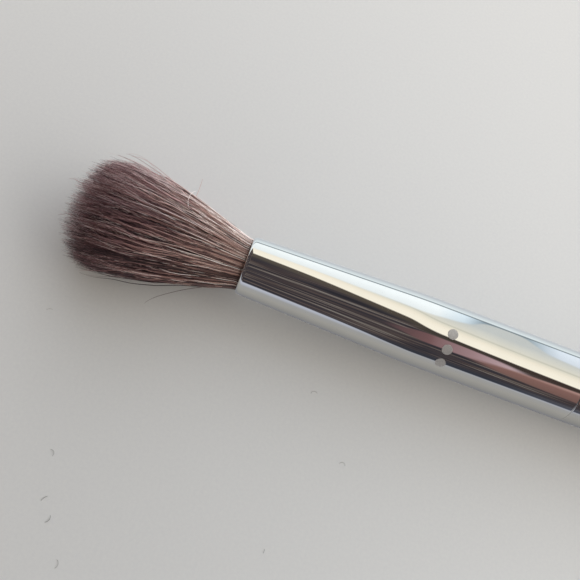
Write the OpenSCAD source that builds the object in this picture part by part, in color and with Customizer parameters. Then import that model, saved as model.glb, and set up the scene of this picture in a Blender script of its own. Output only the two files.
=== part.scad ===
// Fine detail brush with a soft hair tuft, a plated ferrule and a tube handle.
// The brush lies on Z = 0 with its axis along X: tuft towards -X, handle towards +X.
// The origin is on the surface it lies on, halfway along and across the brush.
// Each piece is turned about the brush axis, with its own Z running from the
// ferrule's mouth (0) towards the handle, so the hair outside the mouth is below 0.

/* [Ferrule] */
// Outer diameter at the mouth
mouth_d = 6.4; // [5.6:0.1:7.7]
// Outer diameter of the straight rear part
ferrule_d = 7.8; // [6.5:0.1:10]
// Length from mouth to rear rim
ferrule_l = 37.5; // [31:0.5:60]
// Length of the taper behind the mouth, to the middle of the bend into the straight
taper_l = 19.5; // [12:0.5:24]
// Length over which the taper bends into the straight
bend_l = 3; // [1:0.5:5]
// Wall thickness
ferrule_wall = 0.3; // [0.2:0.05:0.4]
// Axial length of the rounded lip
lip_l = 0.4; // [0.2:0.05:0.8]
// Rounding of the rear rim
rim_r = 0.12; // [0.05:0.01:0.18]

/* [Hair tuft] */
// Length of hair outside the ferrule
hair_out = 19.2; // [16:0.1:28]
// Length of hair glued inside the ferrule
hair_in = 10; // [8:0.5:12]
// Widest diameter of the tuft
tuft_d = 11.7; // [9:0.1:14]
// Length of the domed tip beyond the widest place
dome_l = 4.8; // [3:0.1:7]
// Fullness of the domed tip: 2 is an ellipse, more is blunter
dome_power = 2.6; // [2:0.1:4]
// Distance from the mouth to the sideways bend
side_flex_out = 5; // [4:0.5:6]
// Distance from the mouth to the up-and-down bend
tip_flex_out = 12; // [10:0.5:13]
// Largest sideways bend each way, in degrees
side_bend = 25; // [10:1:30]
// Largest up-and-down bend each way, in degrees
tip_bend = 20; // [10:1:25]
// Clearance between the tuft's bending lengths
hair_gap = 0.15; // [0.1:0.05:0.3]
// Depth of each bend's ball below the tuft's surface
ball_inset = 0.3; // [0.2:0.05:0.5]

/* [Root binding] */
// Diameter of the binding thread
thread_d = 0.25; // [0.15:0.05:0.3]
// Turns of thread round the hair roots
thread_turns = 5; // [2:1:7]
// Step from turn to turn, as a share of the thread's diameter: tight turns flatten a little
thread_squeeze = 0.9; // [0.85:0.05:0.95]
// Distance from the ends of the roots to the last turn
thread_back = 1.3; // [0.5:0.1:2]
// Depth by which a turn is pulled into the hair
thread_bite = 0.05; // [0.02:0.01:0.1]
// Least room between the thread and the ferrule
thread_gap = 0.03; // [0.02:0.01:0.05]
// Length of glue in front of the first turn
glue_front = 1.2; // [0.5:0.1:2]
// Length of glue behind the ends of the roots
glue_tail = 2.5; // [1:0.5:4]

/* [Handle] */
// Length of handle outside the ferrule
handle_l = 110; // [85:1:150]
// Length of the straight grip next to the ferrule
grip_l = 60; // [40:1:72]
// Outer diameter of the tail
tail_d = 5.2; // [4:0.1:6.4]
// Length of the straight tail that holds the cap
tail_l = 8; // [6:0.5:12]
// Wall thickness of the handle tube
tube_wall = 0.4; // [0.3:0.05:0.6]
// Distance from the end of the ferrule's taper to the front of the core's tenon
tenon_gap = 1.5; // [0.5:0.5:4]
// Length of the core inside the handle tube
core_l = 52; // [35:1:60]
// Thickness of the glue round the tenon
tenon_glue_t = 0.1; // [0.05:0.05:0.2]
// Chamfer at both ends of the core
core_chamfer = 0.5; // [0.2:0.1:1]
// Rounding of the tube's ends beside the ferrule and the cap
tube_edge_r = 0.1; // [0.05:0.01:0.15]
// Length of the cap's plug inside the tail
plug_l = 6; // [4:0.5:6]

/* [Size mark] */
// Number of printed dots
dot_count = 3; // [1:1:5]
// Diameter of a dot
dot_d = 1.1; // [0.6:0.1:1.4]
// Distance between dots round the ferrule
dot_pitch = 1.7; // [1.5:0.1:2.2]
// Distance from the end of the ferrule's taper to the row of dots
dots_back = 1.6; // [1.5:0.1:6]
// Thickness of the print
print_t = 0.03; // [0.02:0.01:0.05]
// Height of the middle dot round the ferrule, in degrees above the horizontal
dots_up = 55; // [0:5:90]

/* [Hidden] */
$fn = 96;

// Steps along a curved outline and round a rounded edge
outline_steps = 16;
edge_steps = 6;
// Cut-offs reach this far past what they cut
past = 1;

mouth_r = mouth_d / 2;
ferrule_r = ferrule_d / 2;
root_r = mouth_r - ferrule_wall;
tuft_r = tuft_d / 2;
belly_out = hair_out - dome_l;
core_r = ferrule_r - ferrule_wall - tenon_glue_t;
handle_r = core_r + tube_wall;
tail_r = tail_d / 2;
plug_r = tail_r - tube_wall;
cap_l = tail_r;
total_l = hair_out + ferrule_l + handle_l;
mouth_x = hair_out - total_l / 2;
axis_z = max(ferrule_r, handle_r);
straight_z = taper_l + bend_l / 2;
tenon_z = straight_z + tenon_gap;
dots_z = straight_z + dots_back;
grip_end_z = ferrule_l + grip_l;
tube_end_z = ferrule_l + handle_l - cap_l;
tail_z = tube_end_z - tail_l;

// Ferrule radius at z: a cone, then a short bend into a cylinder
function bend_share(z) = min(1, max(0, (z - taper_l + bend_l / 2) / bend_l));
function taper_slope() = (ferrule_r - mouth_r) / taper_l;
function ferrule_out_r(z) =
    let (b = bend_share(z), cone_z = min(z, taper_l - bend_l / 2))
    mouth_r + taper_slope() * (cone_z + bend_l * (b - b * b / 2));
function bore_r(z) = ferrule_out_r(z) - ferrule_wall;

// Tuft radius at a distance out from the mouth: a flare, then a blunt dome
function tuft_out_r(out) =
    out < belly_out
    ? root_r + (tuft_r - root_r) * sin(90 * out / belly_out)
    : tuft_r * pow(max(0, 1 - pow((out - belly_out) / dome_l, dome_power)), 1 / dome_power);

// Distances along a stretch from a to b
function stretch(a, b, steps) = [for (i = [0:steps]) a + (b - a) * i / steps];
// Distances that crowd towards b, for the end of a dome
function crowded(a, b, steps) = [for (i = [0:steps]) a + (b - a) * sin(90 * i / steps)];
// Quarter of an ellipse about c, from one angle to another
function edge_arc(c, rx, ry, from, to) =
    [for (i = [0:edge_steps])
        let (t = from + (to - from) * i / edge_steps)
        c + [rx * cos(t), ry * sin(t)]];

// The turns lie against each other, and are pulled in as far as the bore needs
thread_step = thread_squeeze * thread_d;
thread_l = (thread_turns - 1) * thread_step;
thread_z = hair_in - thread_back - thread_l;
thread_r = min(root_r - thread_bite, bore_r(thread_z) - thread_gap - thread_d) + thread_d / 2;
glue_z = thread_z - glue_front;

side_ball_r = tuft_out_r(side_flex_out) - ball_inset;
tip_ball_r = tuft_out_r(tip_flex_out) - ball_inset;
// Each seat stops where the next length's shoulder would reach it at full bend
root_end_out = side_flex_out - tuft_out_r(side_flex_out) * sin(side_bend) - hair_gap;
belly_end_out = tip_flex_out - tuft_out_r(tip_flex_out) * sin(tip_bend) - hair_gap;

// Puts a piece turned about its own Z on the brush axis
module on_axis() {
    translate([mouth_x, 0, axis_z]) rotate([0, 90, 0]) children();
}

// Ball about the brush axis at a distance out from the mouth
module hair_ball(out, r) {
    on_axis() translate([0, 0, -out]) sphere(r);
}

// Stretch of the tuft's outer shape between two distances out from the mouth
module tuft_stretch(from, to) {
    flare = [for (out = stretch(from, min(to, belly_out), outline_steps)) [tuft_out_r(out), -out]];
    dome = to > belly_out
        ? [for (out = crowded(belly_out, to, outline_steps)) if (out > belly_out) [tuft_out_r(out), -out]]
        : [];
    on_axis() rotate_extrude() polygon(concat([[0, -from]], flare, dome, [[0, -to]]));
}

// Takes away whatever would be below the surface the brush lies on
module laid_flat() {
    difference() {
        children();
        translate([-total_l, -tuft_d, -tuft_d]) cube([2 * total_l, 2 * tuft_d, tuft_d]);
    }
}

// Drawn tube with a rolled-in lip, a taper, a straight and a rounded rim
module ferrule() {
    outer = [for (z = stretch(straight_z - bend_l, straight_z, edge_steps)) [ferrule_out_r(z), z]];
    inner = [for (p = outer) p - [ferrule_wall, 0]];
    lip_r = ferrule_out_r(lip_l);
    lip = edge_arc([root_r, lip_l], lip_r - root_r, lip_l, -90, 0);
    rim = edge_arc([ferrule_r - rim_r, ferrule_l - rim_r], rim_r, rim_r, 0, 90);
    bore_end = [ferrule_r - ferrule_wall, ferrule_l];
    color("silver") on_axis() rotate_extrude()
        polygon(concat(lip, outer, rim, [bore_end], [for (i = [edge_steps:-1:0]) inner[i]]));
}

// One dot of a thin print wrapped on the ferrule, facing down before it is turned
module printed_dot() {
    difference() {
        intersection() {
            translate([0, 0, dots_z]) rotate([0, 90, 0]) cylinder(h = ferrule_d, d = dot_d);
            translate([0, 0, dots_z - dot_d]) cylinder(h = 2 * dot_d, r = ferrule_r + print_t);
        }
        translate([0, 0, dots_z - dot_d - past]) cylinder(h = 2 * (dot_d + past), r = ferrule_r);
    }
}

// Row of printed dots round the ferrule
module size_mark() {
    dot_turn = dot_pitch / ferrule_r * 180 / PI;
    color("lightgrey") on_axis() for (i = [0:dot_count - 1])
        rotate([0, 0, 270 - dots_up + dot_turn * (i - (dot_count - 1) / 2)]) printed_dot();
}

// Turns of thread, seen in half section
module thread_turns_2d() {
    for (i = [0:thread_turns - 1])
        translate([thread_r, thread_z + i * thread_step]) circle(d = thread_d, $fn = 24);
}

// Hair inside the ferrule and the short length outside it that doesn't bend
module hair_root() {
    color("saddlebrown") {
        on_axis() rotate_extrude() difference() {
            square([root_r, hair_in]);
            thread_turns_2d();
        }
        difference() {
            tuft_stretch(0, root_end_out);
            hair_ball(side_flex_out, side_ball_r + hair_gap);
        }
    }
}

// Hair between the two bends
module hair_belly() {
    color("rosybrown") laid_flat() difference() {
        union() {
            tuft_stretch(side_flex_out, belly_end_out);
            hair_ball(side_flex_out, side_ball_r);
        }
        hair_ball(tip_flex_out, tip_ball_r + hair_gap);
    }
}

// Hair from the second bend to the domed end
module hair_tip() {
    color("indianred") laid_flat() {
        tuft_stretch(tip_flex_out, hair_out);
        hair_ball(tip_flex_out, tip_ball_r);
    }
}

// Thread pulled tight round the hair roots
module binding_thread() {
    color("ivory") on_axis() rotate_extrude() thread_turns_2d();
}

// Glue that fills the ferrule round and behind the hair roots
module root_glue() {
    glue_end = hair_in + glue_tail;
    color("goldenrod") on_axis() rotate_extrude() difference() {
        polygon([[0, glue_z], [bore_r(glue_z), glue_z], [bore_r(glue_end), glue_end], [0, glue_end]]);
        translate([0, glue_z - past]) square([root_r, hair_in - glue_z + past]);
        thread_turns_2d();
        // The glue doesn't creep in under the turns
        translate([0, thread_z]) square([thread_r, thread_l]);
    }
}

// Dowel that joins the ferrule to the handle tube
module handle_core() {
    end_r = core_r - core_chamfer;
    end_z = ferrule_l + core_l;
    color("burlywood") on_axis() rotate_extrude() polygon([
        [0, tenon_z], [end_r, tenon_z], [core_r, tenon_z + core_chamfer],
        [core_r, end_z - core_chamfer], [end_r, end_z], [0, end_z]]);
}

// Glue between the tenon and the ferrule
module tenon_glue() {
    film_z = tenon_z + core_chamfer;
    color("khaki") on_axis() difference() {
        translate([0, 0, film_z]) cylinder(h = ferrule_l - film_z, r = core_r + tenon_glue_t);
        translate([0, 0, film_z - past]) cylinder(h = ferrule_l - film_z + 2 * past, r = core_r);
    }
}

// Polished tube: a straight grip, a long taper and a straight tail
module handle_tube() {
    front = edge_arc([handle_r - tube_edge_r, ferrule_l + tube_edge_r], tube_edge_r, tube_edge_r, -90, 0);
    rear = edge_arc([tail_r - tube_edge_r, tube_end_z - tube_edge_r], tube_edge_r, tube_edge_r, 0, 90);
    color("gainsboro") on_axis() rotate_extrude() polygon(concat(
        [[core_r, ferrule_l]], front, [[handle_r, grip_end_z], [tail_r, tail_z]], rear,
        [[plug_r, tube_end_z], [plug_r, tail_z], [core_r, grip_end_z]]));
}

// Domed cap whose plug is pressed into the tail
module tail_cap() {
    color("gainsboro") on_axis() translate([0, 0, tube_end_z]) {
        intersection() {
            sphere(tail_r);
            cylinder(h = cap_l, r = tail_r);
        }
        translate([0, 0, -plug_l]) cylinder(h = plug_l, r = plug_r);
    }
}

ferrule();
size_mark();
hair_root();
hair_belly();
hair_tip();
binding_thread();
root_glue();
handle_core();
tenon_glue();
handle_tube();
tail_cap();
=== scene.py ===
# %% [markdown]
# # A soft round brush on a pale table
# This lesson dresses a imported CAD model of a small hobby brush: a tuft of dyed goat hair, a
# mirror-bright plated ferrule with three printed dots, and a turned handle.
# The CAD model is the frame. It already knows where every piece is, in metres, with the brush
# lying along X: the hair points to -X, the handle to +X, and the table top is Z = 0.
# Nothing here changes a size: every piece made below starts from the box of a CAD node.

# %% Load the frame
import math
import bpy
import numpy as np
from mathutils import Matrix, Vector


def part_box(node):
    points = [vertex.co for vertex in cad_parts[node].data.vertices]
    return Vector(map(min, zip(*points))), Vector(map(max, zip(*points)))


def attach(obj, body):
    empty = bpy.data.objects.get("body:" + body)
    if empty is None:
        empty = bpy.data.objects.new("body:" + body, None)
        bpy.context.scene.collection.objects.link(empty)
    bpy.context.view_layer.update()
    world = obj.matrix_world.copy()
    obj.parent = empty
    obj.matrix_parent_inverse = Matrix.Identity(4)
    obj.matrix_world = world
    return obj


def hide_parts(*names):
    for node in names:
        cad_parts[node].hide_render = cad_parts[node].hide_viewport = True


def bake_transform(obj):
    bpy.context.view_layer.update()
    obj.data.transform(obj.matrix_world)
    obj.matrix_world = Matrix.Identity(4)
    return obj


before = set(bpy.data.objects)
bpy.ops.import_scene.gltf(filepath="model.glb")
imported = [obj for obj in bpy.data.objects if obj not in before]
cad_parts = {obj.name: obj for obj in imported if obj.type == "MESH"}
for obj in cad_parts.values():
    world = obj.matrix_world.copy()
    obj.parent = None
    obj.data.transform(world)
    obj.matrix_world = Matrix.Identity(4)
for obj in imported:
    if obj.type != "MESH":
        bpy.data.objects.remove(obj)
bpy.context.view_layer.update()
print("CAD nodes:", sorted(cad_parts))

# %% [markdown]
# ## Measures that the rest of the lesson shares
# A box from the CAD gives the ferrule's mouth, its rear rim and the height of the axis.
# Working in millimetres keeps the numbers readable; one factor turns them into metres.

# %% Places taken from the CAD boxes
MM = 0.001
ferrule_low, ferrule_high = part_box("ferrule")
tip_low, tip_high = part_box("hair_tip")
tube_low, tube_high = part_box("handle_tube")
cap_low, cap_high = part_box("tail_cap")

mouth_x = ferrule_low[0]
rim_x = ferrule_high[0]
axis_z = (ferrule_low[2] + ferrule_high[2]) / 2
ferrule_r = (ferrule_high[2] - ferrule_low[2]) / 2
hair_out = mouth_x - tip_low[0]
tuft_r = (tip_high[1] - tip_low[1]) / 2
print(f"mouth {mouth_x:.5f}  rim {rim_x:.5f}  axis {axis_z:.5f}  radius {ferrule_r:.5f}")

# %% [markdown]
# ## Colours and nodes
# Colours are written as the hex values that a colour picker shows. Blender's shaders work in
# linear light, so one function undoes the display curve. One more function adds a node, sets
# it up and links it, which keeps each material readable as a list of steps. The last two put
# a mesh into the scene, as the table, the flag and every made piece need.

# %% Colour and node helpers
def linear(hex_colour, gain=1.0):
    """An sRGB hex colour as linear RGBA."""
    digits = hex_colour.lstrip("#")
    channels = [int(digits[i:i + 2], 16) / 255 for i in (0, 2, 4)]
    curve = [c / 12.92 if c <= 0.04045 else ((c + 0.055) / 1.055) ** 2.4 for c in channels]
    return tuple(c * gain for c in curve) + (1.0,)


def fill(tree, node, inputs):
    """Fills a node's inputs: another node's socket is linked, anything else is the value."""
    for key, value in inputs.items():
        if isinstance(value, bpy.types.NodeSocket):
            tree.links.new(value, node.inputs[key])
        else:
            node.inputs[key].default_value = value


def add_node(tree, kind, inputs=None, **settings):
    """Adds a node, applies its settings and fills its inputs."""
    node = tree.nodes.new(kind)
    for name, value in settings.items():
        setattr(node, name, value)
    fill(tree, node, inputs or {})
    return node


def set_stops(ramp_node, stops, gain=1.0):
    """Gives a colour ramp its stops: [(position, hex colour), ...]."""
    elements = ramp_node.color_ramp.elements
    while len(elements) > 1:
        elements.remove(elements[-1])
    elements[0].position = stops[0][0]
    elements[0].color = linear(stops[0][1], gain)
    for position, hex_colour in stops[1:]:
        elements.new(position).color = linear(hex_colour, gain)
    return ramp_node


def start_material(name):
    """A new material with an empty tree, a Principled shader and its output."""
    material = bpy.data.materials.new(name)
    material.use_nodes = True
    tree = material.node_tree
    tree.nodes.clear()
    shader = add_node(tree, "ShaderNodeBsdfPrincipled")
    add_node(tree, "ShaderNodeOutputMaterial", {"Surface": shader.outputs["BSDF"]})
    return material, tree, shader


def place_mesh(name, mesh, material):
    """Puts a mesh with one material into the scene."""
    mesh.materials.append(material)
    piece = bpy.data.objects.new(name, mesh)
    bpy.context.scene.collection.objects.link(piece)
    return piece


def flat_board(name, width, depth, material):
    """A flat rectangle about the origin, facing up."""
    corners = [(sx * width / 2, sy * depth / 2, 0)
               for sx, sy in ((-1, -1), (1, -1), (1, 1), (-1, 1))]
    mesh = bpy.data.meshes.new(name)
    mesh.from_pydata(corners, [], [(0, 1, 2, 3)])
    return place_mesh(name, mesh, material)


print("mid grey in linear light", round(linear("#808080")[0], 3))


# %% [markdown]
# ## The camera
# A close, slightly tilted view from above: about 76 mm from the brush, so perspective is
# strong enough to matter. The camera's place is given from the ferrule's mouth, and its tilt
# by the point that it looks at and a roll about the view axis.

# %% Camera
CAMERA_FROM_MOUTH = Vector((2.09, -28.20, 69.79)) * MM
AIM_FROM_MOUTH = Vector((5.4535, -0.8896, 0.0)) * MM
CAMERA_ROLL = math.radians(27.04)
CAMERA_LENS = 43.70

mouth = Vector((mouth_x, 0.0, axis_z))
view_line = (AIM_FROM_MOUTH - CAMERA_FROM_MOUTH).normalized()
level = view_line.to_track_quat("-Z", "Y").to_matrix().to_4x4()
camera_data = bpy.data.cameras.new("camera")
camera_data.lens = CAMERA_LENS
camera_data.sensor_width = 36.0
camera_data.clip_start = 0.001
camera = bpy.data.objects.new("camera", camera_data)
camera.matrix_world = (Matrix.Translation(mouth + CAMERA_FROM_MOUTH) @ level
                       @ Matrix.Rotation(CAMERA_ROLL, 4, "Z"))
bpy.context.scene.collection.objects.link(camera)
bpy.context.scene.camera = camera
bpy.context.scene.view_settings.view_transform = "Standard"
axes_seen = camera.matrix_world.to_3x3().transposed()
print("camera axes", [[round(value, 4) for value in row] for row in axes_seen])

# %% [markdown]
# ## The table
# A plain pale table top, big enough that its edge is far from every view. It is the stage and
# not part of the brush. A fine speckle in its matt paint stops it from looking like an empty
# backdrop.

# %% Table material: matt painted board
TABLE_SIZE = 1.6
SPECKLE_MM = 0.35

table_paint, tree, shader = start_material("matt_painted_board")
place = add_node(tree, "ShaderNodeTexCoord")
speckle = add_node(tree, "ShaderNodeTexNoise",
                   {"Vector": place.outputs["Object"], "Scale": 1 / (SPECKLE_MM * MM),
                    "Detail": 2.0, "Roughness": 0.6})
tone = add_node(tree, "ShaderNodeValToRGB", {"Fac": speckle.outputs["Fac"]})
set_stops(tone, [(0.25, "#d9d9d8"), (0.75, "#dddddb")])
bump = add_node(tree, "ShaderNodeBump",
                {"Height": speckle.outputs["Fac"], "Strength": 0.06, "Distance": 0.02 * MM})
fill(tree, shader, {"Base Color": tone.outputs["Color"], "Normal": bump.outputs["Normal"],
                    "Roughness": 0.75, "Specular IOR Level": 0.2})

table = flat_board("table_top", TABLE_SIZE, TABLE_SIZE, table_paint)
# Mirror rays see the room's painted table instead, with its painted shade below the brush.
table.visible_glossy = False
print("table", TABLE_SIZE, "m wide")

# %% [markdown]
# ## Light
# Matt things are lit by a plain, soft studio: an even glow all round, a bright side at the
# handle end, weaker ones at the far and near sides, and a low window far off on the far
# side. The brush's shadow is therefore wide and faint, and falls towards the hair. A dark
# flag stands where the viewer is, as one would in a studio, and keeps the floor in front of
# the lens from looking flat.

# %% Flag beside the lens
FLAG_SIZE = (0.092, 0.165)
FLAG_WEAVE_MM = 1.0

flag_cloth, tree, shader = start_material("black_flag_cloth")
place = add_node(tree, "ShaderNodeTexCoord")
weave = add_node(tree, "ShaderNodeTexNoise",
                 {"Vector": place.outputs["Object"], "Scale": 1 / (FLAG_WEAVE_MM * MM)})
tone = add_node(tree, "ShaderNodeValToRGB", {"Fac": weave.outputs["Fac"]})
set_stops(tone, [(0.3, "#0c0c0d"), (0.7, "#161618")])
fill(tree, shader, {"Base Color": tone.outputs["Color"], "Roughness": 0.9})

flag = flat_board("lens_flag", *FLAG_SIZE, flag_cloth)
flag.matrix_world = camera.matrix_world.copy()
flag.visible_camera = False
flag.visible_glossy = False
print("flag at", [round(value, 4) for value in flag.matrix_world.translation])

# %% [markdown]
# ### The room that polished metal sees
# A polished ferrule is a mirror, so what it shows is the room. Mirror rays therefore see a
# room painted by direction: a bright window low on the far side, a cream wall and ceiling
# above it, a dark shape overhead with a slanting edge and two warm patches, and the pale
# table below. Two angles of the ray, its height and how far it leans along the brush, say
# where in the room it lands. A picture wrapped round the scene could do this too, but bands
# that are worked out stay sharp and need no file.

# %% Two angles for every mirror ray
PLATE_REFLECTANCE = 0.86

world = bpy.data.worlds.new("soft_studio")
world.use_nodes = True
bpy.context.scene.world = world
tree = world.node_tree
tree.nodes.clear()
ray = add_node(tree, "ShaderNodeTexCoord")
axes = add_node(tree, "ShaderNodeSeparateXYZ", {"Vector": ray.outputs["Generated"]})

# Height runs 0 at the near horizon, 90 overhead, 180 at the far horizon; below is the table.
towards_viewer = add_node(tree, "ShaderNodeMath", {0: axes.outputs["Y"], 1: -1.0},
                          operation="MULTIPLY")
swing = add_node(tree, "ShaderNodeMath", {0: axes.outputs["Z"], 1: towards_viewer.outputs[0]},
                 operation="ARCTAN2")
quarter_on = add_node(tree, "ShaderNodeMath", {0: swing.outputs[0], 1: math.pi / 2},
                      operation="ADD")
wrapped = add_node(tree, "ShaderNodeMath", {0: quarter_on.outputs[0], 1: math.tau},
                   operation="FLOORED_MODULO")
height = add_node(tree, "ShaderNodeMath",
                  {0: wrapped.outputs[0], 1: math.degrees(1.0), 2: -90.0},
                  operation="MULTIPLY_ADD")
# Sideways runs from 0 across the brush to 90 along the handle.
lean = add_node(tree, "ShaderNodeMath", {0: axes.outputs["X"]}, operation="ARCSINE")
sideways = add_node(tree, "ShaderNodeMath", {0: lean.outputs[0], 1: math.degrees(1.0)},
                    operation="MULTIPLY")

# %% [markdown]
# ### Edges of the bands
# Walls and sills don't run straight in a round mirror, so each edge is a curve that gives
# its height for every sideways angle. A smooth step on the distance past it softens the edge.

# %% Edges of the room's bands, as curves over the sideways angle
SIDE_SPAN = (-30.0, 60.0)
HEIGHT_SPAN = (-90.0, 270.0)
side_fac = add_node(tree, "ShaderNodeMapRange",
                    {"Value": sideways.outputs[0], "From Min": SIDE_SPAN[0],
                     "From Max": SIDE_SPAN[1]})
height_fac = add_node(tree, "ShaderNodeMapRange",
                      {"Value": height.outputs[0], "From Min": HEIGHT_SPAN[0],
                       "From Max": HEIGHT_SPAN[1]})


def at_height(degrees):
    """The ramp position of a height above the near horizon."""
    return (degrees - HEIGHT_SPAN[0]) / (HEIGHT_SPAN[1] - HEIGHT_SPAN[0])


def at_side(degrees):
    """The ramp position of a sideways angle."""
    return (degrees - SIDE_SPAN[0]) / (SIDE_SPAN[1] - SIDE_SPAN[0])


def edge_heights(points):
    """A node that gives an edge's height for each sideways angle: [(side, height), ...]."""
    curve = add_node(tree, "ShaderNodeFloatCurve", {"Value": side_fac.outputs[0]})
    line = curve.mapping.curves[0]
    line.points[0].location = (0.0, at_height(points[0][1]))
    line.points[1].location = (1.0, at_height(points[-1][1]))
    for side, level in points[1:-1]:
        line.points.new(at_side(side), at_height(level))
    curve.mapping.update()
    return add_node(tree, "ShaderNodeMapRange",
                    {"Value": curve.outputs[0], "To Min": HEIGHT_SPAN[0],
                     "To Max": HEIGHT_SPAN[1]})


# The dark shape overhead slants down towards the handle; the window's sill ends near 17.
cream_edge = edge_heights([(-30, 150), (-5, 121), (0, 114), (5, 102), (10, 90), (12, 85),
                           (15, 80), (20, 74), (25, 70), (60, 45)])
sill_edge = edge_heights([(-30, 150), (0, 141), (6, 134), (12, 131), (15, 136), (17, 148),
                          (18.5, 176), (20.5, 178), (22, 160), (24, 140), (60, 125)])
past_edge = add_node(tree, "ShaderNodeMath",
                     {0: height.outputs[0], 1: cream_edge.outputs[0]}, operation="SUBTRACT")
past_sill = add_node(tree, "ShaderNodeMath",
                     {0: height.outputs[0], 1: sill_edge.outputs[0]}, operation="SUBTRACT")
is_cream = add_node(tree, "ShaderNodeMapRange",
                    {"Value": past_edge.outputs[0], "From Min": -1.0, "From Max": 2.5},
                    interpolation_type="SMOOTHSTEP")
is_window = add_node(tree, "ShaderNodeMapRange",
                     {"Value": past_sill.outputs[0], "From Min": -5.0, "From Max": 4.0},
                     interpolation_type="SMOOTHSTEP")

print("room heights", HEIGHT_SPAN, "and sideways", SIDE_SPAN)

# %% [markdown]
# ### The dark shape overhead
# Whatever hangs over a polished tube shows as a dark band along it. Soft folds of dark cloth
# fill the band, browner along its rim, and a rosy and a russet patch warm it.

# %% Colours of the dark shape: folds of cloth and two warm patches
ROOM_GAIN = 1 / PLATE_REFLECTANCE
fold_place = add_node(tree, "ShaderNodeCombineXYZ",
                      {"X": sideways.outputs[0], "Y": height.outputs[0]})
fold_scale = add_node(tree, "ShaderNodeMapping",
                      {"Vector": fold_place.outputs[0], "Scale": (0.075, 0.17, 1.0),
                       "Location": (3.1, 0.4, 0.0)})
folds = add_node(tree, "ShaderNodeTexNoise",
                 {"Vector": fold_scale.outputs[0], "Scale": 1.0, "Detail": 2.5,
                  "Roughness": 0.55, "Distortion": 0.35})
fold_tone = add_node(tree, "ShaderNodeValToRGB", {"Fac": folds.outputs["Fac"]})
set_stops(fold_tone, [(0.30, "#26262b"), (0.43, "#38353a"), (0.52, "#433a3a"),
                      (0.60, "#5d5450"), (0.68, "#84817c")], ROOM_GAIN)
is_brim = add_node(tree, "ShaderNodeMapRange",
                   {"Value": past_edge.outputs[0], "From Min": -20.0, "From Max": -6.0},
                   interpolation_type="SMOOTHSTEP")
brim_tone = add_node(tree, "ShaderNodeValToRGB", {"Fac": side_fac.outputs[0]})
set_stops(brim_tone, [(at_side(-5), "#544e47"), (at_side(6), "#4e473f"),
                      (at_side(14), "#3f3a35"), (at_side(25), "#3b302c")], ROOM_GAIN)
overhead = add_node(tree, "ShaderNodeMix",
                    {"Factor": is_brim.outputs[0], "A": fold_tone.outputs["Color"],
                     "B": brim_tone.outputs["Color"]}, data_type="RGBA")


def soft_patch(under, side, height_mid, half_side, half_height, tone):
    """Lays an oval patch of a tone over a colour; its rim is soft."""
    off_side = add_node(tree, "ShaderNodeMapRange",
                        {"Value": sideways.outputs[0], "From Min": side,
                         "From Max": side + half_side}, clamp=False)
    off_height = add_node(tree, "ShaderNodeMapRange",
                          {"Value": height.outputs[0], "From Min": height_mid,
                           "From Max": height_mid + half_height}, clamp=False)
    offset = add_node(tree, "ShaderNodeCombineXYZ",
                      {"X": off_side.outputs[0], "Y": off_height.outputs[0]})
    reach = add_node(tree, "ShaderNodeVectorMath", {0: offset.outputs[0]}, operation="LENGTH")
    inside = add_node(tree, "ShaderNodeMapRange",
                      {"Value": reach.outputs["Value"], "From Min": 1.05, "From Max": 0.8},
                      interpolation_type="SMOOTHSTEP")
    return add_node(tree, "ShaderNodeMix",
                    {"Factor": inside.outputs[0], "A": under, "B": tone}, data_type="RGBA")


rosy = add_node(tree, "ShaderNodeValToRGB", {"Fac": side_fac.outputs[0]})
set_stops(rosy, [(at_side(8), "#5e494a"), (at_side(14), "#725556"),
                 (at_side(18), "#9c8083"), (at_side(21), "#b59da1")], ROOM_GAIN)
russet = add_node(tree, "ShaderNodeValToRGB", {"Fac": height_fac.outputs[0]})
set_stops(russet, [(at_height(14), "#5c4a48"), (at_height(30), "#735852"),
                   (at_height(48), "#80605a"), (at_height(57), "#b08e86")], ROOM_GAIN)
with_rosy = soft_patch(overhead.outputs[2], 14.5, 54.0, 8.0, 15.5, rosy.outputs["Color"])
with_russet = soft_patch(with_rosy.outputs[2], 30.0, 41.0, 12.5, 19.0, russet.outputs["Color"])
is_raised = add_node(tree, "ShaderNodeMapRange",
                     {"Value": height.outputs[0], "From Min": -6.0, "From Max": 12.0},
                     interpolation_type="SMOOTHSTEP")
low_tone = add_node(tree, "ShaderNodeValToRGB", {"Fac": side_fac.outputs[0]})
set_stops(low_tone, [(at_side(-5), "#3a3a40"), (at_side(8), "#33343b"),
                     (at_side(20), "#32353e"), (at_side(26), "#4b4e58")], ROOM_GAIN)
dark_shape = add_node(tree, "ShaderNodeMix",
                      {"Factor": is_raised.outputs[0], "A": low_tone.outputs["Color"],
                       "B": with_russet.outputs[2]}, data_type="RGBA")

# %% [markdown]
# ### Wall, window and table
# The cream wall dims with height, the window is cool and nearly white with a grey frame
# across it, and the table is grey, with painted shade that darkens it straight below the brush.

# %% Colours of the wall, the window and the table
above_edge_fac = add_node(tree, "ShaderNodeMapRange",
                          {"Value": past_edge.outputs[0], "From Min": 0.0, "From Max": 70.0})
cream_wall = add_node(tree, "ShaderNodeValToRGB", {"Fac": above_edge_fac.outputs[0]})
set_stops(cream_wall, [(0.0, "#f8f1e0"), (0.20, "#f6efde"), (0.34, "#f0e8d6"),
                       (0.47, "#dedaca"), (0.52, "#c6c4b6"), (0.58, "#d9d7cb"),
                       (0.80, "#cfd0c9"), (1.0, "#c2c6c4")], ROOM_GAIN)
window_glow = add_node(tree, "ShaderNodeValToRGB", {"Fac": side_fac.outputs[0]})
set_stops(window_glow, [(at_side(-10), "#f4fbfc"), (at_side(14), "#f6fdff"),
                        (at_side(16.5), "#dcecf6"), (at_side(18), "#8c9da9"),
                        (at_side(20.5), "#75858f"), (at_side(22), "#b4c3cc"),
                        (at_side(24), "#dfe9f4"), (at_side(30), "#e9f0f6")], ROOM_GAIN)
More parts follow.
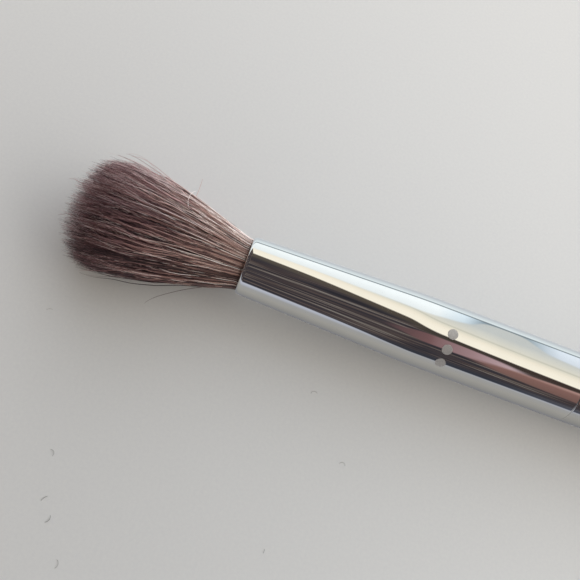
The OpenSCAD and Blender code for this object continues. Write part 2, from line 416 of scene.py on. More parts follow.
window_deep = add_node(tree, "ShaderNodeMapRange",
                       {"Value": past_sill.outputs[0], "From Min": 30.0, "From Max": 0.0,
                        "To Min": 1.0, "To Max": 0.88})
window_tone = add_node(tree, "ShaderNodeMix",
                       {"Factor": window_deep.outputs[0], "A": linear("#000000"),
                        "B": window_glow.outputs["Color"]}, data_type="RGBA")
# The table as mirrors see it: painted shade darkens it towards straight down, where the brush's
# shadow lies.
table_seen = add_node(tree, "ShaderNodeValToRGB", {"Fac": height_fac.outputs[0]})
set_stops(table_seen, [(at_height(-88), "#76777b"), (at_height(-60), "#8b8a87"),
                       (at_height(-35), "#9a9893"), (at_height(-15), "#9b9b9b"),
                       (at_height(-8), "#a9adb8"), (at_height(-2), "#b4b8c4"),
                       (at_height(180), "#6b767c"), (at_height(183), "#95a0a5"),
                       (at_height(186), "#dfe9ec"), (at_height(195), "#d3dce0"),
                       (at_height(215), "#b9bfc4"), (at_height(243), "#c9ccce"),
                       (at_height(250), "#808184"), (at_height(269), "#78797c")], ROOM_GAIN)
near_edge = edge_heights([(-30, 3), (-5, 2), (5, -3), (9, -9), (15, -10), (25, -8), (60, -4)])
past_near = add_node(tree, "ShaderNodeMath",
                     {0: height.outputs[0], 1: near_edge.outputs[0]}, operation="SUBTRACT")
is_above_near = add_node(tree, "ShaderNodeMapRange",
                         {"Value": past_near.outputs[0], "From Min": -2.5, "From Max": 1.5},
                         interpolation_type="SMOOTHSTEP")
is_above_far = add_node(tree, "ShaderNodeMapRange",
                        {"Value": height.outputs[0], "From Min": 180.0, "From Max": 177.0},
                        interpolation_type="SMOOTHSTEP")
is_above = add_node(tree, "ShaderNodeMath",
                    {0: is_above_near.outputs[0], 1: is_above_far.outputs[0]},
                    operation="MULTIPLY")
walls = add_node(tree, "ShaderNodeMix",
                 {"Factor": is_cream.outputs[0], "A": dark_shape.outputs[2],
                  "B": cream_wall.outputs["Color"]}, data_type="RGBA")
lit_walls = add_node(tree, "ShaderNodeMix",
                     {"Factor": is_window.outputs[0], "A": walls.outputs[2],
                      "B": window_tone.outputs[2]}, data_type="RGBA")
room = add_node(tree, "ShaderNodeMix",
                {"Factor": is_above.outputs[0], "A": table_seen.outputs["Color"],
                 "B": lit_walls.outputs[2]}, data_type="RGBA")
mirror_light = add_node(tree, "ShaderNodeBackground",
                        {"Color": room.outputs[2], "Strength": 1.0})
print("room drawn with", len(tree.nodes), "nodes")

# %% [markdown]
# ### The plain light
# Matt things get a glow that depends only on the direction that it comes from: an even part,
# and parts that gather about one side. The camera itself sees a plain backdrop.

# %% The plain light that everything else sees
# Each glow: axis, sign, how tightly it gathers about that side, and its strength. The tight
# one is a far, low window, which lights the hair's flank and barely the floor.
EVEN_GLOW = (0.45, 0.36, 0.26)
SIDE_GLOWS = {"handle end": ("X", 1.0, 1.0, (2.20, 2.27, 2.30)),
              "far side": ("Y", 1.0, 1.0, (0.20, 0.42, 0.70)),
              "low window": ("Y", 1.0, 7.0, (4.3, 4.2, 4.2)),
              "near side": ("Y", -1.0, 1.0, (0.24, 0.24, 0.26))}
BACKDROP = "#e4e4e2"

glow = add_node(tree, "ShaderNodeCombineXYZ", dict(zip("XYZ", EVEN_GLOW)))
for axis_name, sign, tightness, strength in SIDE_GLOWS.values():
    facing = add_node(tree, "ShaderNodeMath", {0: axes.outputs[axis_name], 1: sign},
                      operation="MULTIPLY", use_clamp=True)
    gathered = add_node(tree, "ShaderNodeMath", {0: facing.outputs[0], 1: tightness},
                        operation="POWER")
    side_glow = add_node(tree, "ShaderNodeVectorMath",
                         {0: strength, "Scale": gathered.outputs[0]}, operation="SCALE")
    glow = add_node(tree, "ShaderNodeVectorMath",
                    {0: glow.outputs[0], 1: side_glow.outputs[0]}, operation="ADD")
plain_light = add_node(tree, "ShaderNodeBackground", {"Color": glow.outputs[0]})
backdrop = add_node(tree, "ShaderNodeBackground", {"Color": linear(BACKDROP)})
kind_of_ray = add_node(tree, "ShaderNodeLightPath")
unlit = add_node(tree, "ShaderNodeMixShader",
                 {0: kind_of_ray.outputs["Is Camera Ray"], 1: plain_light.outputs[0],
                  2: backdrop.outputs[0]})
sky = add_node(tree, "ShaderNodeMixShader",
               {0: kind_of_ray.outputs["Is Glossy Ray"], 1: unlit.outputs[0],
                2: mirror_light.outputs[0]})
add_node(tree, "ShaderNodeOutputWorld", {"Surface": sky.outputs[0]})
print("even glow", EVEN_GLOW, "and glows from:", ", ".join(SIDE_GLOWS))

# %% [markdown]
# ## Turned and drawn metal
# The ferrule is a seamless brass tube drawn to a slight taper over its front half, with its
# mouth rolled to a fine lip, then plated with nickel and chrome. It is round, so one outline
# swept about the axis gives the whole piece, inside wall included. A mirror shows the
# smallest facet, so the sweep uses many sides, and smooth normals do the rest.

# %% A sweep about the brush's axis
def add_mesh(name, vertices, faces, material):
    """A mesh object with smooth faces and one material."""
    mesh = bpy.data.meshes.new(name)
    mesh.from_pydata([tuple(v) for v in vertices], [], faces)
    mesh.polygons.foreach_set("use_smooth", [True] * len(mesh.polygons))
    mesh.update()
    return place_mesh(name, mesh, material)


def turned(name, outline, material, sides=192):
    """Sweeps a closed outline of (x, radius) points, in metres, about the brush's axis."""
    vertices, faces, ring_of = [], [], []
    for x, radius in outline:
        ring_of.append((len(vertices), 1 if radius < 1e-9 else sides))
        for k in range(ring_of[-1][1]):
            turn = math.tau * k / sides
            vertices.append((x, radius * math.cos(turn), axis_z + radius * math.sin(turn)))
    closed = outline[0][1] > 1e-9 or outline[-1][1] > 1e-9
    pairs = list(zip(ring_of, ring_of[1:] + (ring_of[:1] if closed else [])))
    for (first, n_first), (second, n_second) in pairs:
        for k in range(sides):
            after = (k + 1) % sides
            corners = [first + (k if n_first > 1 else 0), first + (after if n_first > 1 else 0),
                       second + (after if n_second > 1 else 0),
                       second + (k if n_second > 1 else 0)]
            faces.append([c for i, c in enumerate(corners) if c not in corners[:i]])
    return add_mesh(name, vertices, faces, material)


# %% [markdown]
# ### Finish: nickel-chrome plate on drawn brass
# Chrome plate is a near-perfect mirror with a slightly cool grey cast. Drawing the tube
# leaves long, faint lines along it, and handling leaves hairline scuffs; both only show
# where a bright band ends. The eye reads them as polished metal that has been used.

# %% Chrome material
DRAW_LINE_MM = 0.25
SCUFF_MM = 3.0


def polished_metal(name, light, dark, roughness, bump_mm):
    """Polished metal with draw lines along X and faint scuffs."""
    material, tree, shader = start_material(name)
    place = add_node(tree, "ShaderNodeTexCoord")
    stretch = add_node(tree, "ShaderNodeMapping",
                       {"Vector": place.outputs["Object"], "Scale": (0.02, 1.0, 1.0)})
    lines = add_node(tree, "ShaderNodeTexNoise",
                     {"Vector": stretch.outputs[0], "Scale": 1 / (DRAW_LINE_MM * MM),
                      "Detail": 3.0, "Roughness": 0.55})
    scuffs = add_node(tree, "ShaderNodeTexNoise",
                      {"Vector": place.outputs["Object"], "Scale": 1 / (SCUFF_MM * MM),
                       "Detail": 4.0, "Roughness": 0.6})
    tint = add_node(tree, "ShaderNodeValToRGB", {"Fac": scuffs.outputs["Fac"]})
    set_stops(tint, [(0.3, dark), (0.7, light)])
    gloss = add_node(tree, "ShaderNodeMapRange",
                     {"Value": scuffs.outputs["Fac"], "From Min": 0.3, "From Max": 0.8,
                      "To Min": roughness * 0.7, "To Max": roughness * 1.5})
    bump = add_node(tree, "ShaderNodeBump",
                    {"Height": lines.outputs["Fac"], "Strength": 1.0, "Distance": bump_mm * MM})
    fill(tree, shader, {"Base Color": tint.outputs["Color"], "Roughness": gloss.outputs[0],
                        "Normal": bump.outputs["Normal"], "Metallic": 1.0})
    return material


chrome_plate = polished_metal("nickel_chrome_plate_on_drawn_brass", "#efefee", "#ebebea",
                              0.035, 0.0003)
print(chrome_plate.name)

# %% [markdown]
# ### The ferrule's outline
# The outline runs from the rolled lip back along the outside, round the rear rim, and home
# along the bore. Only the roundings need many points. Rings just beside each one keep the
# long plain faces free of false shading.

# %% Ferrule
MOUTH_R = 3.2 * MM
WALL = 0.3 * MM
LIP_LENGTH = 0.45 * MM
RIM_ROUND = 0.12 * MM
TAPER_LENGTH = 19.5 * MM
BEND_LENGTH = 3.0 * MM
GUARD = 0.05 * MM
RING_STEPS_MM = np.arange(0.5, 37.0, 0.5)
BORE_STEPS_MM = np.arange(36.0, 0.0, -2.0)


def ferrule_outer(back):
    """Outer radius at a distance back from the mouth: a cone that eases into the straight."""
    slope = (ferrule_r - MOUTH_R) / TAPER_LENGTH
    cone = min(back, TAPER_LENGTH - BEND_LENGTH / 2)
    bent = min(max((back - cone) / BEND_LENGTH, 0.0), 1.0)
    return MOUTH_R + slope * (cone + BEND_LENGTH * (bent - bent * bent / 2))


def rounded(centre_x, centre_r, length, height, start, stop, steps=8):
    """Points on a quarter of an ellipse in an outline, angles in degrees from +X."""
    turns = [math.radians(start + (stop - start) * i / steps) for i in range(steps + 1)]
    return [(centre_x + length * math.cos(t), centre_r + height * math.sin(t)) for t in turns]


mouth_bore = MOUTH_R - WALL
ferrule_line = rounded(mouth_x + LIP_LENGTH, mouth_bore, LIP_LENGTH,
                       ferrule_outer(LIP_LENGTH) - mouth_bore, 180, 90)
ferrule_line += [(mouth_x + back, ferrule_outer(back)) for back in RING_STEPS_MM * MM]
ferrule_line += [(rim_x - RIM_ROUND - GUARD, ferrule_r)]
ferrule_line += rounded(rim_x - RIM_ROUND, ferrule_r - RIM_ROUND, RIM_ROUND, RIM_ROUND, 90, 0)
ferrule_line += [(rim_x, ferrule_r - WALL), (rim_x - GUARD, ferrule_r - WALL)]
ferrule_line += [(mouth_x + back, ferrule_outer(back) - WALL) for back in BORE_STEPS_MM * MM]
ferrule_line += [(mouth_x + GUARD, mouth_bore)]
ferrule = turned("ferrule_shell", ferrule_line, chrome_plate, sides=256)
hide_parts("ferrule")
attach(ferrule, "body")
print("ferrule faces", len(ferrule.data.polygons))

# %% [markdown]
# ## Handle tube and tail cap
# The handle is a tube of the same plated brass, flush with the ferrule: a straight grip, a
# long taper spun down to a thin tail, and a turned cap pressed into the end. Both are round,
# so the same sweep makes them. Tube and cap are polished a little less finely than the
# ferrule, and fingers leave them slightly hazier.

# %% Handle tube and tail cap
TUBE_WALL = 0.4 * MM
TUBE_EDGE = 0.1 * MM
GRIP_LENGTH = 60 * MM
TAIL_LENGTH = 8 * MM
PLUG_LENGTH = 6 * MM

handle_plate = polished_metal("satin_polished_plate_on_drawn_tube", "#ebebea", "#e3e3e1",
                              0.045, 0.0007)
cap_plate = polished_metal("polished_plate_on_turned_cap", "#ebebea", "#e3e3e1", 0.045, 0.0005)
grip_r = (tube_high[2] - tube_low[2]) / 2
tube_end = tube_high[0]
tail_end = cap_high[0]
tail_r = (cap_high[2] - cap_low[2]) / 2
grip_end = rim_x + GRIP_LENGTH
tail_start = tube_end - TAIL_LENGTH

tube_line = rounded(rim_x + TUBE_EDGE, grip_r - TUBE_EDGE, TUBE_EDGE, TUBE_EDGE, 180, 90)
tube_line += [(rim_x + TUBE_EDGE + GUARD, grip_r), (grip_end - MM, grip_r),
              (grip_end + MM, grip_r - (grip_r - tail_r) * MM / (tail_start - grip_end)),
              (tail_start - MM, tail_r + (grip_r - tail_r) * MM / (tail_start - grip_end)),
              (tail_start + MM, tail_r), (tube_end - TUBE_EDGE - GUARD, tail_r)]
tube_line += rounded(tube_end - TUBE_EDGE, tail_r - TUBE_EDGE, TUBE_EDGE, TUBE_EDGE, 90, 0)
tube_line += [(tube_end, tail_r - TUBE_WALL), (tail_start, tail_r - TUBE_WALL),
              (grip_end, grip_r - TUBE_WALL), (rim_x, grip_r - TUBE_WALL)]
handle_tube = turned("handle_tube_drawn", tube_line, handle_plate, sides=160)
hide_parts("handle_tube")
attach(handle_tube, "body")

dome = rounded(tube_end, 0.0, tail_r, tail_r, 90, 0, steps=24)
seam = [(tube_end, tail_r - TUBE_EDGE), (tube_end + TUBE_EDGE / 3, tail_r - TUBE_EDGE / 4)]
cap_line = [(tube_end - PLUG_LENGTH, 0.0),
            (tube_end - PLUG_LENGTH, tail_r - TUBE_WALL), (tube_end, tail_r - TUBE_WALL)]
cap_line += seam + dome[2:-1] + [(tail_end, 0.0)]
tail_cap = turned("tail_cap_turned", cap_line, cap_plate, sides=160)
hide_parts("tail_cap")
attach(tail_cap, "body")
print(f"handle radius {grip_r:.5f}, tail radius {tail_r:.5f}")

# %% [markdown]
# ## The pieces whose CAD shape is right
# The printed dots and the four hidden pieces keep their CAD meshes and get their finishes.
# Hidden pieces are dressed as well, because someone may take the brush apart.

# %% Put a finish on a CAD piece
def dress(node_name, material):
    """Gives every material slot of a CAD piece the same finish."""
    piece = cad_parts[node_name]
    for holder in piece.material_slots:
        holder.material = material
    print(node_name, "is now", material.name)


# %% [markdown]
# ### Finish: pad-printed silver ink
# The size mark is ink pressed onto the plate by a soft pad. Its aluminium flakes lie at all
# angles, so it looks grey and dull beside the mirror around it, with a faint grain.

# %% Silver ink
INK_GRAIN_MM = 0.09

silver_ink, tree, shader = start_material("pad_printed_silver_ink")
place = add_node(tree, "ShaderNodeTexCoord")
flakes = add_node(tree, "ShaderNodeTexNoise",
                  {"Vector": place.outputs["Object"], "Scale": 1 / (INK_GRAIN_MM * MM),
                   "Detail": 2.0})
tone = add_node(tree, "ShaderNodeValToRGB", {"Fac": flakes.outputs["Fac"]})
set_stops(tone, [(0.3, "#b0aeae"), (0.7, "#c8c6c4")])
gloss = add_node(tree, "ShaderNodeMapRange",
                 {"Value": flakes.outputs["Fac"], "To Min": 0.42, "To Max": 0.6})
bump = add_node(tree, "ShaderNodeBump",
                {"Height": flakes.outputs["Fac"], "Strength": 0.4, "Distance": 0.004 * MM})
fill(tree, shader, {"Base Color": tone.outputs["Color"], "Roughness": gloss.outputs[0],
                    "Normal": bump.outputs["Normal"], "Metallic": 0.55})
dress("size_mark", silver_ink)

# %% [markdown]
# ### Finish: waxed polyester thread
# Twisted thread shows slanting plies along its length, about three to a thread's width, and
# the wax gives each ply a soft shine. The grooves between plies are darkened by painted shade.

# %% Waxed thread
PLY_MM = 0.16

waxed_thread, tree, shader = start_material("waxed_polyester_thread")
place = add_node(tree, "ShaderNodeTexCoord")
plies = add_node(tree, "ShaderNodeTexWave",
                 {"Vector": place.outputs["Object"], "Scale": 0.314 / (PLY_MM * MM),
                  "Distortion": 1.5, "Detail": 2.0}, bands_direction="DIAGONAL")
# The tone follows the plies' bump: painted shade darkens the grooves between them.
tone = add_node(tree, "ShaderNodeValToRGB", {"Fac": plies.outputs["Fac"]})
set_stops(tone, [(0.0, "#c9c2ae"), (1.0, "#ece7da")])
bump = add_node(tree, "ShaderNodeBump",
                {"Height": plies.outputs["Fac"], "Strength": 0.6, "Distance": 0.02 * MM})
fill(tree, shader, {"Base Color": tone.outputs["Color"], "Normal": bump.outputs["Normal"],
                    "Roughness": 0.5})
dress("binding_thread", waxed_thread)

# %% [markdown]
# ### Finish: cast epoxy
# Epoxy poured round the hair roots sets to a clear amber, cloudy where it took in air, with
# a smooth skin. The thin film round the tenon is the same resin, paler because it is thin.

# %% Epoxy, thick and thin
BUBBLE_MM = 0.5


def cast_epoxy(name, deep, cloudy):
    """Set epoxy: two ambers mixed by cloudiness, and a smooth glossy skin."""
    material, tree, shader = start_material(name)
    place = add_node(tree, "ShaderNodeTexCoord")
    cloud = add_node(tree, "ShaderNodeTexNoise",
                     {"Vector": place.outputs["Object"], "Scale": 1 / (2 * MM), "Detail": 4.0})
    bubbles = add_node(tree, "ShaderNodeTexVoronoi",
                       {"Vector": place.outputs["Object"], "Scale": 1 / (BUBBLE_MM * MM)})
    tone = add_node(tree, "ShaderNodeValToRGB", {"Fac": cloud.outputs["Fac"]})
    set_stops(tone, [(0.3, deep), (0.7, cloudy)])
    bump = add_node(tree, "ShaderNodeBump",
                    {"Height": bubbles.outputs["Distance"], "Strength": 0.3,
                     "Distance": 0.02 * MM})
    fill(tree, shader, {"Base Color": tone.outputs["Color"], "Normal": bump.outputs["Normal"],
                        "Roughness": 0.18, "IOR": 1.55})
    return material


dress("root_glue", cast_epoxy("cast_epoxy_thick", "#9c7434", "#c39a55"))
dress("tenon_glue", cast_epoxy("cast_epoxy_film", "#c2a968", "#dac894"))

# %% [markdown]
# ### Finish: turned birch
# The dowel that joins ferrule and handle is birch: pale, close-grained, with long faint
# streaks along it, left as it came off the lathe.

# %% Birch
GRAIN_MM = 0.6

turned_birch, tree, shader = start_material("turned_birch")
place = add_node(tree, "ShaderNodeTexCoord")
along_grain = add_node(tree, "ShaderNodeMapping",
                       {"Vector": place.outputs["Object"], "Scale": (0.05, 1.0, 1.0)})
streaks = add_node(tree, "ShaderNodeTexNoise",
                   {"Vector": along_grain.outputs[0], "Scale": 1 / (GRAIN_MM * MM),
                    "Detail": 5.0, "Roughness": 0.6})
tone = add_node(tree, "ShaderNodeValToRGB", {"Fac": streaks.outputs["Fac"]})
set_stops(tone, [(0.25, "#b08a5e"), (0.5, "#cfae82"), (0.75, "#dcc199")])
bump = add_node(tree, "ShaderNodeBump",
                {"Height": streaks.outputs["Fac"], "Strength": 0.5, "Distance": 0.02 * MM})
fill(tree, shader, {"Base Color": tone.outputs["Color"], "Normal": bump.outputs["Normal"],
                    "Roughness": 0.6})
dress("handle_core", turned_birch)

# %% [markdown]
# ## The tuft
# The tuft is goat hair, dyed a plum brown: thousands of hairs, each about 0.08 mm thick, tied
# and glued inside the ferrule. They leave the mouth in a tight round bundle, flare by their
# own spring, gather into locks, and end in a soft dome where the fine natural tips are kept
# uncut. A particle system could grow them, but its hairs are strands that a plain mesh file
# can't hold. Here every hair is a thin three-sided tube on a path worked out with arrays.

# %% Sizes of the tuft
HAIR_COUNT = 9000
HAIR_THICK = 0.080
MOUTH_PACK_R = 2.74
DOME_LENGTH = 4.8
DOME_POWER = 2.6
GLUE_DEPTH = 9.5
SPLIT_OUT = 8.5
SPLIT_SPREAD = 0.6
FLOOR_GAP = 0.06

random = np.random.default_rng(11)
axis_mm = axis_z / MM
tuft_mm = tuft_r / MM
out_mm = hair_out / MM
belly_mm = out_mm - DOME_LENGTH


def envelope(out):
    """Radius of the outermost hairs, in mm, at a distance out from the mouth."""
    part = np.clip(out / belly_mm, 0.0, 1.0)
    swell = 0.75 * np.sin(part * math.pi / 2) + 0.25 * part
    return MOUTH_PACK_R + (tuft_mm - MOUTH_PACK_R) * swell


def dome_end(share):
    """How far out a hair ends when it sits at this share of the tuft's radius."""
    return belly_mm + DOME_LENGTH * (1.0 - np.clip(share, 0, 1) ** DOME_POWER) ** (1 / DOME_POWER)


print("radius every 3 mm:", [round(float(envelope(o)), 2) for o in range(0, 16, 3)])

# %% [markdown]
# ### Where each hair goes
# A hair keeps its share of the bundle's radius all the way out, so the bundle flares evenly.
# Three things then break up that order: locks, which draw neighbours together along their
# middle; slow waves, one per lock and a smaller one per hair; and a little drift sideways,
# so that hairs cross. Where the tuft would dip under the table it is pressed flat.

# %% Paths of the hairs
LOCK_PULL = 0.60
DROOP_MM = 0.45
PRESS_MM = 1.3
FUZZ_LENGTH = 4.0


def eased(value, low, high):
    """A smooth step from 0 at low to 1 at high."""
    t = np.clip((value - low) / (high - low), 0.0, 1.0)
    return t * t * (3 - 2 * t)


def hair_paths(shares, turns, ends, out, lock, lock_place, wave, loose):
    """Centre points (hair, station, xyz) in metres, at distances out from the mouth in mm."""
    along = np.maximum(out, 0.0)
    spread = envelope(along) * shares[:, None]
    turn = turns[:, None] + wave["drift"][:, None] * along
    y = spread * np.cos(turn)
    z = spread * np.sin(turn)
    lock_spread = envelope(along) * lock_place["share"][lock][:, None]
    lock_turn = (lock_place["turn"][lock][:, None]
                 + lock_place["drift"][lock][:, None] * along)
    pull = (LOCK_PULL * eased(along, 0.5, 6.0) * (1 - 0.6 * eased(along, 12.0, 18.5))
            * (1 - loose[:, None]))
    y = y + pull * (lock_spread * np.cos(lock_turn) - y)
    z = z + pull * (lock_spread * np.sin(lock_turn) - z)
    grow = eased(along, 0.0, 12.0)
    crimp_grow = eased(along, 0.3, 4.0)
    for axis_index in (0, 1):
        slow = lock_place["wave"][lock, axis_index]
        fast = wave["own"][:, axis_index]
        sway = (slow[:, 0:1] * np.sin(slow[:, 1:2] + along * slow[:, 2:3])
                + fast[:, 0:1] * np.sin(fast[:, 1:2] + along * fast[:, 2:3])) * grow
        crimp = wave["crimp"][:, axis_index]
        sway = sway + (crimp[:, 0:1] * crimp_grow
                       * np.sin(crimp[:, 1:2] + along * crimp[:, 2:3]))
        y = y + (sway if axis_index == 0 else 0)
        z = z + (sway if axis_index == 1 else 0)
    lift = 1 + wave["lift"][:, None] * eased(along, 2.0, 16.0)
    y, z = y * lift, z * lift
    fuzz = eased(along, ends[:, None] - FUZZ_LENGTH, ends[:, None])
    y = y + wave["fuzz"][:, 0:1] * fuzz
    z = z + wave["fuzz"][:, 1:2] * fuzz
    y = y - DROOP_MM * (along / out_mm) ** 3
    low = -(axis_mm - FLOOR_GAP)
    knee = low + PRESS_MM
    z = np.where(z < knee, knee - PRESS_MM * np.tanh((knee - z) / PRESS_MM), z)
    x = mouth_x / MM - out
    return np.stack([x, y, z + axis_mm], axis=2) * MM


# %% [markdown]
# ### Chance, with a seed
# More than half of the hairs lie in the outer shell, where they are seen. Each joins the lock
# nearest to it. The seed makes every run draw the same tuft.

# %% Random draws for the hairs
LOCK_COUNT = 640
SHELL_PART = 0.55
LOCK_WAVE_MM = 0.13
OWN_WAVE_MM = 0.10
CRIMP_MM = 0.045
SHORTER_MM = 0.75
SHORTEST_PAST_JOIN = 3.0


def draw_waves(count, height_mm, shortest, longest):
    """Height, phase and turns per mm of sideways and upward waves: (hair, axis, 3)."""
    return np.stack([np.stack([random.normal(0, height_mm, count),
                               random.random(count) * math.tau,
                               math.tau / random.uniform(shortest, longest, count)], axis=1)
                     for _ in range(2)], axis=1)


def draw_hairs(count):
    """Draws each hair's place in the bundle, its lock, waves and end."""
    in_shell = random.random(count) < SHELL_PART
    shares = np.where(in_shell, 0.80 + 0.20 * random.random(count) ** 0.8,
                      np.sqrt(random.random(count)) * 0.95)
    turns = random.random(count) * math.tau
    lock_place = {
        "share": np.where(random.random(LOCK_COUNT) < 0.6,
                          0.78 + 0.20 * random.random(LOCK_COUNT),
                          np.sqrt(random.random(LOCK_COUNT)) * 0.85),
        "turn": random.random(LOCK_COUNT) * math.tau,
        "drift": random.normal(0, 0.006, LOCK_COUNT),
        "tint": random.normal(0, 1, LOCK_COUNT),
        "wave": draw_waves(LOCK_COUNT, LOCK_WAVE_MM, 9, 20)}
    spot = np.stack([shares * np.cos(turns), shares * np.sin(turns)], axis=1)
    lock_spot = np.stack([lock_place["share"] * np.cos(lock_place["turn"]),
                          lock_place["share"] * np.sin(lock_place["turn"])], axis=1)
    gap = ((spot[:, None, :] - lock_spot[None, :, :]) ** 2).sum(axis=2)
    lock = gap.argmin(axis=1)
    wave = {"drift": random.normal(0, 0.005, count),
            "own": draw_waves(count, OWN_WAVE_MM, 5.5, 12),
            "crimp": draw_waves(count, CRIMP_MM, 3.4, 6.0),
            "lift": np.where(random.random(count) < 0.12, random.random(count) ** 2 * 0.18, 0.0),
            "fuzz": random.normal(0, 0.24, (count, 2))}
    ends = (dome_end(shares) - random.exponential(SHORTER_MM, count)
            + random.normal(0, 0.28, count))
    ends = np.clip(ends, SPLIT_OUT + SHORTEST_PAST_JOIN, out_mm - 0.02)
    loose = np.where(random.random(count) < 0.18, 0.85, random.random(count) * 0.35)
    return shares, turns, ends, lock, lock_place, wave, loose


shares, turns, ends, lock, lock_place, wave, loose = draw_hairs(HAIR_COUNT)
print("hairs", HAIR_COUNT, "locks", LOCK_COUNT, "mean end", round(float(ends.mean()), 2))

# %% [markdown]
# ### From paths to tubes
# Each path becomes a closed tube with three sides, widest along the middle and drawn out to
# a fine tip. Its map for colour has two axes: across, one narrow column per tint; upwards,
# the distance from the mouth. Hairs of one tint share a column, which is right because their
# colour depends on nothing else.

# %% Tubes with a tint map
TINTS = 64
SIDES = 3


def tube_rings(paths, radii):
    """Rings of points round each path: (hair, station, side, xyz)."""
    heading = np.gradient(paths, axis=1)
    heading /= np.linalg.norm(heading, axis=2, keepdims=True)
    across = np.cross(heading, np.array([0.05, 0.3, 1.0]))
    across /= np.linalg.norm(across, axis=2, keepdims=True)
    third = np.cross(heading, across)
    turn = np.arange(SIDES) * math.tau / SIDES
    ring = (across[:, :, None, :] * np.cos(turn)[None, None, :, None]
            + third[:, :, None, :] * np.sin(turn)[None, None, :, None])
    return paths[:, :, None, :] + ring * radii[:, :, None, None]


def hair_tubes(name, points, tint, along, material):
    """One mesh of closed three-sided tubes from their rings, with its tint map."""
    count, stations = along.shape
    first = (np.arange(count) * stations * SIDES)[:, None, None]
    row = (np.arange(stations - 1) * SIDES)[None, :, None]
    side = np.arange(SIDES)[None, None, :]
    after = (side + 1) % SIDES
    quads = np.stack([first + row + side, first + row + after,
                      first + row + SIDES + after, first + row + SIDES + side], axis=-1)
    tip_cap = first[:, 0, 0][:, None] + np.arange(SIDES)[None, :] + (stations - 1) * SIDES
    root_cap = tip_cap[:, ::-1] - (stations - 1) * SIDES
    corners = np.concatenate([quads.reshape(-1), root_cap.reshape(-1), tip_cap.reshape(-1)])
    n_quads = count * (stations - 1) * SIDES
    sizes = np.concatenate([np.full(n_quads, 4), np.full(count * 2, SIDES)])
    mesh = bpy.data.meshes.new(name)
    mesh.vertices.add(count * stations * SIDES)
    mesh.vertices.foreach_set("co", points.reshape(-1).astype(np.float32))
    mesh.loops.add(len(corners))
    mesh.loops.foreach_set("vertex_index", corners.astype(np.int32))
    mesh.polygons.add(len(sizes))
    mesh.polygons.foreach_set("loop_start", np.concatenate([[0], np.cumsum(sizes)[:-1]])
                              .astype(np.int32))
    mesh.polygons.foreach_set("use_smooth", np.concatenate(
        [np.ones(n_quads, bool), np.zeros(count * 2, bool)]))
    mesh.update(calc_edges=True)
    column = (tint[:, None, None] + 0.2 + 0.2 * np.arange(SIDES + 1)[None, None, :]) / TINTS
    across_map = np.broadcast_to(column, (count, stations - 1, SIDES + 1))
    upwards = np.clip(0.02 + 0.96 * (along + GLUE_DEPTH) / (out_mm + GLUE_DEPTH + 1), 0, 1)
    low = np.broadcast_to(upwards[:, :-1, None], (count, stations - 1, SIDES))
    high = np.broadcast_to(upwards[:, 1:, None], (count, stations - 1, SIDES))
    quad_map = np.stack([np.stack([across_map[..., :-1], low], -1),
                         np.stack([across_map[..., 1:], low], -1),
                         np.stack([across_map[..., 1:], high], -1),
                         np.stack([across_map[..., :-1], high], -1)], axis=-2)
    cap_shape = np.array([[0.2, 0.0], [0.8, 0.0], [0.5, 0.002 * TINTS]]) / TINTS
    root_map = (np.stack([tint / TINTS, upwards[:, 0]], -1)[:, None, :] + cap_shape[None])
    tip_map = (np.stack([tint / TINTS, upwards[:, -1]], -1)[:, None, :]
               + (cap_shape * np.array([1, -1]))[None])
    flat = np.concatenate([quad_map.reshape(-1), root_map.reshape(-1), tip_map.reshape(-1)])
    layer = mesh.uv_layers.new(name="OFBake")
    layer.data.foreach_set("uv", flat.astype(np.float32))
    return place_mesh(name, mesh, material)


# %% [markdown]
# ### Finish: dyed goat hair
# Goat hair is fine, slightly wavy and a little glossy. The dye takes more deeply at the thin
# tips, so it runs from a warm brown near the ferrule to plum brown at the dome, and single
# hairs differ: some nearly charcoal, a few pale. The pale hairs also stand in for painted
# glints. The gloss comes from each hair being round.

# %% Goat hair material
goat_hair, tree, shader = start_material("dyed_goat_hair")
hair_map = add_node(tree, "ShaderNodeUVMap", uv_map="OFBake")
map_axes = add_node(tree, "ShaderNodeSeparateXYZ", {"Vector": hair_map.outputs["UV"]})
column = add_node(tree, "ShaderNodeMath", {0: map_axes.outputs["X"], 1: float(TINTS)},
                  operation="MULTIPLY")
tint_number = add_node(tree, "ShaderNodeMath", {0: column.outputs[0]}, operation="FLOOR")
tint_share = add_node(tree, "ShaderNodeMath", {0: tint_number.outputs[0], 1: TINTS - 1.0},
                      operation="DIVIDE")
root_tint = add_node(tree, "ShaderNodeValToRGB", {"Fac": tint_share.outputs[0]})
set_stops(root_tint, [(0.0, "#392829"), (0.3, "#805e59"), (0.6, "#c19c8f"),
                      (0.85, "#f0d8cc"), (1.0, "#fff5ee")])
tip_tint = add_node(tree, "ShaderNodeValToRGB", {"Fac": tint_share.outputs[0]})
set_stops(tip_tint, [(0.0, "#33262b"), (0.3, "#6c4d55"), (0.6, "#a27779"),
                     (0.85, "#cda3a2"), (1.0, "#f0dcda")])
depth = add_node(tree, "ShaderNodeMapRange",
                 {"Value": map_axes.outputs["Y"], "From Min": 0.32, "From Max": 0.86},
                 interpolation_type="SMOOTHSTEP")
dyed = add_node(tree, "ShaderNodeMix",
                {"Factor": depth.outputs[0], "A": root_tint.outputs["Color"],
                 "B": tip_tint.outputs["Color"]}, data_type="RGBA")
fill(tree, shader, {"Base Color": dyed.outputs[2], "Roughness": 0.42, "IOR": 1.55})
print(goat_hair.name, "in", TINTS, "tints")
